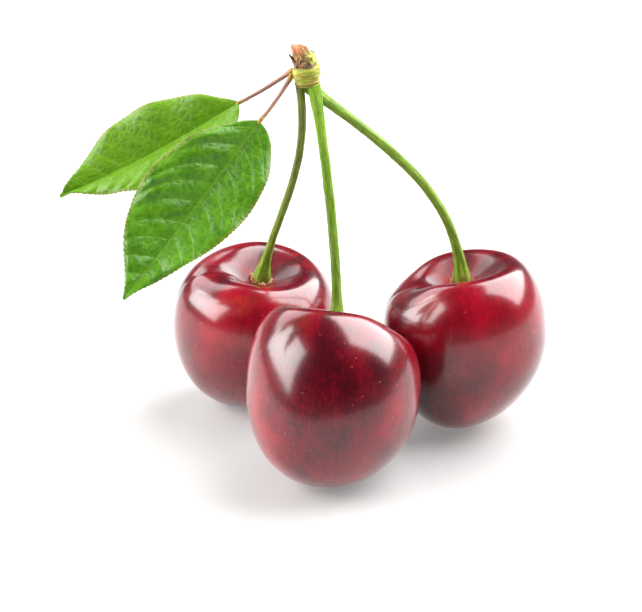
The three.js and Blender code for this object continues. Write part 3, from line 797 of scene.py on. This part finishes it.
# %% Material helpers
def linear(hex_colour):
    """An sRGB hex colour as linear RGBA."""
    parts = [int(hex_colour[i : i + 2], 16) / 255 for i in (1, 3, 5)]
    return tuple(c / 12.92 if c <= 0.04045 else ((c + 0.055) / 1.055) ** 2.4 for c in parts) + (1.0,)


def add_node(tree, kind, inputs=(), stops=(), **settings):
    """Adds a node. `inputs` maps a socket's name or number to a value, or to another node's output, or it lists
    them in the sockets' order. `stops` are a colour ramp's positions and hex colours, with its two ends first."""
    node = tree.nodes.new(kind)
    for key, value in settings.items():
        setattr(node, key, value)
    for socket, value in inputs.items() if isinstance(inputs, dict) else enumerate(inputs):
        if isinstance(value, bpy.types.NodeSocket):
            tree.links.new(value, node.inputs[socket])
        else:
            node.inputs[socket].default_value = value
    for number, (position, colour) in enumerate(stops):
        elements = node.color_ramp.elements
        stop = elements[number] if number < 2 else elements.new(position)
        stop.position, stop.color = position, linear(colour)
    return node


print("crimson in linear light:", [round(c, 3) for c in linear("#a40e1c")])

# %% [markdown]
# Every finish starts from the marks in the mesh and from noise patterns, lays colours over one another, and ends
# in one shader. Those steps are written once. A Map Range node, further down, lists the value, the range that
# it comes from and the range that it goes to.


# %% The steps that all finishes share
def new_finish(name, words=(), patterns=()):
    """An empty material and its node tree, with what its colours can be built on: the marks in the mesh, by name,
    and noise patterns. A pattern is a name, how much faster it changes along each direction of the grain, how
    many of its blotches fit in a millimetre, its detail and its roughness."""
    material = bpy.data.materials.new(name)
    material.use_nodes = True
    tree = material.node_tree
    tree.nodes.clear()
    marks = {}
    for word in words:
        reader = add_node(tree, "ShaderNodeAttribute", attribute_name=word)
        marks[word] = reader.outputs["Vector" if word == "grain" else "Fac"]
    for word, stretch, scale, detail, roughness in patterns:
        space = add_node(tree, "ShaderNodeVectorMath", [marks["grain"], stretch], operation="MULTIPLY")
        inputs = {"Vector": space.outputs[0], "Scale": scale, "Detail": detail, "Roughness": roughness}
        marks[word] = add_node(tree, "ShaderNodeTexNoise", inputs).outputs["Fac"]
    return material, tree, marks


def weigh(tree, total, *parts):
    """Adds parts to a number, each a pattern or mark and its weight."""
    for part, weight in parts:
        total = add_node(tree, "ShaderNodeMath", [part, weight, total], operation="MULTIPLY_ADD").outputs[0]
    return total


def lay_over(tree, colour, *layers):
    """Lays colours over a colour, one after another. A layer is where it shows, how strongly, and its colour."""
    for where, strength, over in layers:
        share = add_node(tree, "ShaderNodeMath", [where, strength], operation="MULTIPLY").outputs[0]
        inputs = {"Factor": share, 6: colour, 7: linear(over) if isinstance(over, str) else over}
        colour = add_node(tree, "ShaderNodeMix", inputs, data_type="RGBA").outputs[2]
    return colour


def add_surface(tree, colour, height, strength, depth, **sockets):
    """A Principled shader's output, with a bump `depth` millimetres deep. In the names of `sockets`, _ is a
    space."""
    bump = add_node(tree, "ShaderNodeBump", {"Height": height, "Strength": strength, "Distance": depth * MM})
    inputs = {word.replace("_", " "): value for word, value in sockets.items()}
    inputs.update({"Base Color": colour, "Normal": bump.outputs["Normal"]})
    return add_node(tree, "ShaderNodeBsdfPrincipled", inputs).outputs[0]


def paint(material, surface, *names):
    """Ends a material in a shader's output, and gives it to pieces."""
    add_node(material.node_tree, "ShaderNodeOutputMaterial", {"Surface": surface})
    for name in names:
        pieces[name].data.materials.append(material)
    print(material.name, "has", len(material.node_tree.nodes), "nodes and is on", len(names), "pieces")


print(len(pieces), "pieces wait for a finish")

# %% [markdown]
# ** Cherry skin.** A thin layer of dark red cells under a natural wax. It was never polished: the wax is smooth
# at the size of a millimetre and slightly rough below, so lamps show as bright shapes with soft edges. Juicy
# skin has an IOR near 1.38 and the wax one near 1.5, so the wax is a coat over it. In the cavity the wax is
# thin, and the skin looks duller. Up close the red is not even: short streaks run from stalk to tip, the red
# lies in broad patches, and pale dots (lenticels) a quarter of a millimetre wide let the fruit breathe. A darker
# red is also painted on as shade, on the side of each fruit that the lamps leave dim and in a band round the
# cavity.

# %% Waxed cherry skin
skin, tree, on_skin = new_finish(
    "waxed_cherry_skin",
    ("grain", "painted_shade", "crease", "funnel", "cavity", "scar"),
    (
        ("streaks", (1.0, 1.0, 0.22), 1.25, 5.0, 0.62),  # 0.8 mm wide and almost 4 mm long
        ("patches", (1.0, 1.0, 0.8), 0.12, 3.0, 0.55),  # 8 mm
        ("flecks", (1.0, 1.0, 0.5), 3.2, 2.0, 0.5),  # 0.3 mm
        ("tears", (1.0, 1.0, 1.0), 0.9, 3.0, 0.6),  # 1 mm
        ("peel", (1.0, 1.0, 1.0), 1.9, 3.0, 0.5),  # 0.5 mm
    ),
)
# Painted shade: the mark for the shaded side and the cavity's rim lowers the redness
weights = dict(streaks=0.1, patches=0.5, flecks=0.2, painted_shade=-0.13)
redness = weigh(tree, 0.285, *((on_skin[word], weight) for word, weight in weights.items()))
reds = add_node(
    tree,
    "ShaderNodeValToRGB",
    {"Fac": redness},
    ((0.45, "#240108"), (0.88, "#b00a26"), (0.57, "#4a0310"), (0.69, "#7c0519")),
)
# One pale dot to each 1.6 mm, fading out from 0.1 to 0.18 mm from its middle
cells = add_node(tree, "ShaderNodeTexVoronoi", {"Vector": on_skin["grain"], "Scale": 0.62, "Randomness": 1.0})
dot = add_node(tree, "ShaderNodeMapRange", [cells.outputs["Distance"], 0.06, 0.11, 0.3, 0.0])
tear = add_node(tree, "ShaderNodeMapRange", [on_skin["tears"], 0.47, 0.6, 0.1, 0.95])
skin_colour = lay_over(
    tree,
    reds.outputs["Color"],
    (dot.outputs["Result"], 1.0, "#c9626a"),
    (on_skin["crease"], 0.35, "#2b0308"),
    (on_skin["funnel"], tear.outputs["Result"], "#c23b28"),
    (on_skin["scar"], 1.0, "#8a5a32"),
)
dull = add_node(tree, "ShaderNodeMapRange", [on_skin["cavity"], 0.0, 1.0, 0.25, 0.45])
wax = add_node(tree, "ShaderNodeMapRange", [on_skin["cavity"], 0.0, 1.0, 0.8, 0.25])
surface = add_surface(
    tree, skin_colour, on_skin["peel"], 0.12, 0.06,
    Roughness=dull.outputs["Result"], IOR=1.38,
    Coat_Weight=wax.outputs["Result"], Coat_Roughness=0.15, Coat_IOR=1.5,
    Subsurface_Weight=0.1, Subsurface_Radius=(1.0, 0.18, 0.12), Subsurface_Scale=0.002,
)
paint(skin, surface, *(name + "_skin" for name in CHERRIES))

# %% [markdown]
# **Stalk skin.** Green, faintly waxy plant tissue, rougher than the fruit: about 0.5. Fine dark lines run
# along it, less than a tenth of a millimetre wide in life and drawn a little coarser so that they show. Older
# stalks turn olive and brown, and the torn foot shows brown edges.

# %% Green stalk skin
stalk_skin, tree, on_stalk = new_finish(
    "green_stalk_skin",
    ("grain", "browning", "ragged"),
    (
        ("fibres", (5.0, 5.0, 0.45), 1.0, 4.0, 0.5),  # 0.2 mm wide and 2 mm long
        ("clouds", (1.0, 1.0, 1.0), 0.45, 3.0, 0.5),  # 2 mm
        ("specks", (3.2, 3.2, 1.1), 1.3, 2.0, 0.5),  # 0.25 mm
    ),
)
fresh, olive = (
    add_node(tree, "ShaderNodeValToRGB", [on_stalk["fibres"]], stops).outputs["Color"]
    for stops in (((0.3, "#568408"), (0.72, "#93b72e")), ((0.3, "#43470f"), (0.75, "#7d753c")))
)
cloudy = weigh(tree, -0.45, (on_stalk["clouds"], 0.9))
aged = add_node(tree, "ShaderNodeMath", [cloudy, on_stalk["browning"]], operation="ADD", use_clamp=True)
speck = add_node(tree, "ShaderNodeMapRange", [on_stalk["specks"], 0.56, 0.7, 0.0, 0.55])
stalk_colour = lay_over(
    tree,
    fresh,
    (aged.outputs[0], 1.0, olive),
    (speck.outputs["Result"], 1.0, "#3c5a12"),
    (on_stalk["ragged"], 0.8, "#7a6a30"),
)
surface = add_surface(
    tree, stalk_colour, on_stalk["fibres"], 0.5, 0.08,
    Roughness=0.5, IOR=1.4,
    Subsurface_Weight=0.1, Subsurface_Radius=(0.6, 1.0, 0.25), Subsurface_Scale=0.0006,
)
paint(stalk_skin, surface, *(name + "_flesh" for name in STALKS))

# %% [markdown]
# **Leaf blade.** A leaf is thin enough for light to come through, which is why its green glows when the lamp is
# behind it. A Translucent shader mixed with a Principled one does both. The upper side is waxy (roughness about
# 0.4), so the sky lies on it as a pale sheen, and the underside is paler and matt. Between the side veins a net
# of finer veins, cells about 1.2 mm wide, puckers the surface.

# %% Cherry leaf blade
blade, tree, on_leaf = new_finish(
    "cherry_leaf_blade",
    ("grain", "vein", "midrib", "edge", "under", "yellowness"),
    (
        ("clouds", (1.0, 1.0, 1.0), 0.28, 4.0, 0.6),  # 3.5 mm
        ("mottle", (1.0, 1.0, 1.0), 1.1, 3.0, 0.5),  # 0.9 mm
        ("fine", (1.0, 1.0, 1.0), 3.4, 3.0, 0.5),  # 0.3 mm
    ),
)
net = add_node(
    tree, "ShaderNodeTexVoronoi", {"Vector": on_leaf["grain"], "Scale": 0.85}, feature="DISTANCE_TO_EDGE"
).outputs["Distance"]
greenness = weigh(tree, -0.05, (on_leaf["clouds"], 0.6), (on_leaf["mottle"], 0.5))
greens = add_node(
    tree, "ShaderNodeValToRGB", [greenness], ((0.3, "#296402"), (0.7, "#669e04"), (0.5, "#468402"))
)
net_line = add_node(tree, "ShaderNodeMapRange", [net, 0.01, 0.09, 0.2, 0.0])
leaf_colour = lay_over(
    tree,
    greens.outputs["Color"],
    (on_leaf["yellowness"], 1.0, "#749800"),
    (net_line.outputs["Result"], 1.0, "#8fc43c"),
    (on_leaf["vein"], 0.42, "#8fb83e"),
    (on_leaf["midrib"], 1.0, "#7cab2c"),
    (on_leaf["edge"], on_leaf["mottle"], "#a3934a"),
    (on_leaf["under"], 0.55, "#96bd6a"),
)
gloss = add_node(tree, "ShaderNodeMapRange", [on_leaf["under"], 0.0, 1.0, 0.4, 0.65])
pucker = add_node(tree, "ShaderNodeMapRange", [net, 0.0, 0.3, 0.0, 1.0])
height = weigh(tree, pucker.outputs["Result"], (on_leaf["fine"], 0.5))
surface = add_surface(tree, leaf_colour, height, 0.45, 0.1, Roughness=gloss.outputs["Result"], IOR=1.5)
glow = add_node(tree, "ShaderNodeMix", {"Factor": 0.35, 6: leaf_colour, 7: linear("#a5d81e")}, data_type="RGBA")
through = add_node(tree, "ShaderNodeBsdfTranslucent", {"Color": glow.outputs[2]})
THROUGH_SHARE = 0.32
both = add_node(tree, "ShaderNodeMixShader", [THROUGH_SHARE, surface, through.outputs[0]])
paint(blade, both.outputs[0], "blade_upper", "blade_lower")

# %% [markdown]
# **Petiole rind.** Thin mauve-brown skin over green, matt (roughness about 0.5). It yellows at the joints.

# %% Mauve petiole rind
rind, tree, on_petiole = new_finish(
    "mauve_petiole_rind",
    ("grain", "yellowing", "gland"),
    [("stripes", (6.0, 6.0, 0.8), 1.0, 3.0, 0.5)],  # 0.17 mm wide
)
mauve = add_node(
    tree, "ShaderNodeValToRGB", [on_petiole["stripes"]], ((0.3, "#6e4130"), (0.72, "#ad8470"))
)
petiole_colour = lay_over(
    tree,
    mauve.outputs["Color"],
    (on_petiole["yellowing"], 1.0, "#b9942a"),
    (on_petiole["gland"], 0.7, "#5b3527"),
)
surface = add_surface(tree, petiole_colour, on_petiole["stripes"], 0.4, 0.05, Roughness=0.5, IOR=1.45)
paint(rind, surface, "petiole_upper_rind", "petiole_lower_rind")

# %% [markdown]
# **Collar flesh.** Young yellow-green shoot, half matt. Where bud scales fell off, their scars have turned to
# brown cork in thin rings.

# %% Yellow-green shoot
shoot, tree, on_shoot = new_finish(
    "yellow_green_shoot",
    ("grain", "scar_ring"),
    (
        ("streaks", (1.0, 1.0, 1.9), 0.9, 5.0, 0.6),  # 1.1 mm long and half as high
        ("stains", (1.0, 1.0, 1.9), 0.55, 4.0, 0.5),  # 1.8 mm
    ),
)
shoot_stops = ((0.3, "#6f8a18"), (0.7, "#bfbd58"), (0.5, "#99a52f"))
shoot_green = add_node(tree, "ShaderNodeValToRGB", [on_shoot["streaks"]], shoot_stops)
stain = add_node(tree, "ShaderNodeMapRange", [on_shoot["stains"], 0.5, 0.68, 0.0, 0.55])
ragged_ring = weigh(tree, 0.0, (on_shoot["streaks"], 1.8))
shoot_colour = lay_over(
    tree,
    shoot_green.outputs["Color"],
    (stain.outputs["Result"], 1.0, "#b0762f"),
    (ragged_ring, on_shoot["scar_ring"], "#84481f"),
)
surface = add_surface(tree, shoot_colour, on_shoot["streaks"], 0.5, 0.15, Roughness=0.52, IOR=1.45)
paint(shoot, surface, "collar_flesh")

# %% [markdown]
# **Torn cherry wood.** Dry bark and freshly torn fibres, fully matt (roughness about 0.85). The tear is salmon
# orange where the wood is fresh, the bark tan with near-black creases.

# %% Torn cherry wood
torn_wood, tree, on_wood = new_finish(
    "torn_cherry_wood",
    ("grain", "torn", "crack", "greening"),
    [("fibres", (4.0, 4.0, 1.0), 1.0, 5.0, 0.65)],  # 0.25 mm wide
)
bark_tan, fresh_tear = (
    add_node(tree, "ShaderNodeValToRGB", [on_wood["fibres"]], stops).outputs["Color"]
    for stops in (((0.34, "#553518"), (0.68, "#c79a62")), ((0.32, "#b5602f"), (0.7, "#f2b184")))
)
wood_colour = lay_over(
    tree,
    bark_tan,
    (on_wood["torn"], 1.0, fresh_tear),
    (on_wood["greening"], 1.0, "#b9bd5a"),
    (on_wood["crack"], 0.8, "#2e1a0e"),
)
surface = add_surface(tree, wood_colour, on_wood["fibres"], 0.8, 0.2, Roughness=0.85, IOR=1.5)
paint(torn_wood, surface, "stub_wood")

# %% [markdown]
# **Corky torn ring.** Dried skin and cork round the stalks' feet, matt and crumbly, tan on top with red flecks of
# skin on its outer side.

# %% Corky torn ring
cork, tree, on_ring = new_finish(
    "corky_torn_ring", ("grain", "redness"), [("crumbs", (1.0, 1.0, 1.0), 2.2, 4.0, 0.65)]  # 0.45 mm
)
tan = add_node(tree, "ShaderNodeValToRGB", [on_ring["crumbs"]], ((0.36, "#4d3317"), (0.72, "#b0935a")))
red = add_node(tree, "ShaderNodeMapRange", [on_ring["crumbs"], 0.42, 0.55, 0.95, 0.0])
ring_colour = lay_over(tree, tan.outputs["Color"], (red.outputs["Result"], on_ring["redness"], "#a82a22"))
surface = add_surface(tree, ring_colour, on_ring["crumbs"], 0.6, 0.1, Roughness=0.6, IOR=1.45)
paint(cork, surface, "torn_ring_front", "torn_ring_left", "torn_ring_right")

# %% [markdown]
# **Dry bud scale.** A papery brown flake, darker at its tip, matt with a little shine from its old resin.

# %% Dry bud scale
papery, tree, on_scale = new_finish(
    "dry_bud_scale", ("grain", "tipness"), [("ribs", (7.0, 1.2, 1.0), 1.0, 3.0, 0.5)]  # 0.14 mm wide
)
brown = add_node(tree, "ShaderNodeValToRGB", [on_scale["ribs"]], ((0.3, "#3f2a1d"), (0.72, "#a3815c")))
scale_colour = lay_over(tree, brown.outputs["Color"], (on_scale["tipness"], 0.45, "#3a241c"))
surface = add_surface(tree, scale_colour, on_scale["ribs"], 0.6, 0.08, Roughness=0.65, IOR=1.5)
paint(papery, surface, "dry_scale_left", "dry_scale_front", "dry_scale_back")

# %% [markdown]
# ## The stage
# The bunch stands on a plain white sheet with a faint light under it, as on an opal light table, so the floor
# is almost pure white and throws light back up into the fruits' lower halves. Two big soft boxes give the two
# window-like highlights on every fruit: a tall one on the left and a wide one above on the right. A weak third
# one behind lights the leaves through. Between the boxes the room is dim, so the skin keeps its depth.

# %% Floor
FLOOR_REACH = 2.5  # metres from the middle to each edge
floor_mesh = bpy.data.meshes.new("floor")
floor_corners = [(x * FLOOR_REACH, y * FLOOR_REACH, 0) for x, y in ((-1, -1), (1, -1), (1, 1), (-1, 1))]
floor_mesh.from_pydata(floor_corners, [], [(0, 1, 2, 3)])
floor = bpy.data.objects.new("floor", floor_mesh)
bpy.context.scene.collection.objects.link(floor)
sheet, tree, _ = new_finish("white_sweep_paper")
sheet_look = {
    "Base Color": linear("#a9a8a7"), "Roughness": 0.7, "Emission Color": (1, 1, 1, 1), "Emission Strength": 0.22
}
pieces["floor"] = floor
paint(sheet, add_node(tree, "ShaderNodeBsdfPrincipled", sheet_look).outputs[0], "floor")
print("floor", 2 * FLOOR_REACH, "metres across")


# %% Lights
AIM_HEIGHT = 0.03  # metres above the table, the middle of the bunch


def add_softbox(name, direction, distance, size, power, spread=180):
    """A rectangular lamp that faces the middle of the bunch. size is (level, steep) in metres."""
    lamp = bpy.data.lights.new(name, "AREA")
    lamp.shape, lamp.size, lamp.size_y = "RECTANGLE", *size
    lamp.energy = power
    lamp.spread = math.radians(spread)
    stand = bpy.data.objects.new(name, lamp)
    way = unit(direction)
    stand.location = Vector(way * distance) + Vector((0, 0, AIM_HEIGHT))
    stand.rotation_euler = Vector(way).to_track_quat("Z", "Y").to_euler()
    stand.visible_camera = False
    bpy.context.scene.collection.objects.link(stand)
    print(name, "radiance, before a narrow spread raises it:", round(power / (math.pi * size[0] * size[1]), 2))


add_softbox("left_softbox", (-0.84, -0.08, 0.47), 0.6, (0.62, 0.42), 3.4, 110)
add_softbox("right_softbox", (0.58, 0.24, 0.68), 0.6, (0.74, 0.7), 15)
add_softbox("back_softbox", (-0.55, 0.6, 0.62), 0.7, (0.5, 0.35), 2.2)

# %% [markdown]
# The room itself is a dim haze, a little brighter near the horizon, where a real studio has pale walls.

# %% Room
HORIZON_HAZE, CEILING_HAZE = 0.3, 0.04
world = bpy.data.worlds.new("studio")
world.use_nodes = True
bpy.context.scene.world = world
tree = world.node_tree
tree.nodes.clear()
direction = add_node(tree, "ShaderNodeTexCoord").outputs["Generated"]
level = add_node(tree, "ShaderNodeSeparateXYZ", [direction]).outputs["Z"]
haze = add_node(
    tree, "ShaderNodeMapRange", [level, 0.02, 0.3, HORIZON_HAZE, CEILING_HAZE]
).outputs["Result"]
sky = add_node(tree, "ShaderNodeBackground", {"Color": (1, 1, 1, 1), "Strength": haze})
add_node(tree, "ShaderNodeOutputWorld", {"Surface": sky.outputs[0]})
print("the room has", len(tree.nodes), "nodes")

# %% [markdown]
# The camera is a long lens a forearm's length away, looking down on the table at 24 degrees.

# %% Camera
LENS, SENSOR_WIDTH, TILT = 100, 36, 66  # millimetres, millimetres, degrees up from straight down
camera_data = bpy.data.cameras.new("camera")
camera_data.lens, camera_data.sensor_width = LENS, SENSOR_WIDTH
camera = bpy.data.objects.new("camera", camera_data)
camera.location = (0.0014, -0.2579, 0.1381)
camera.rotation_euler = (math.radians(TILT), 0, 0)
bpy.context.scene.collection.objects.link(camera)
bpy.context.scene.camera = camera
bpy.context.scene.view_settings.view_transform = "Standard"
bpy.context.scene.view_settings.look = "None"
print("camera at", tuple(round(x, 4) for x in camera.location), "metres")

# %% Finish
bpy.context.view_layer.update()
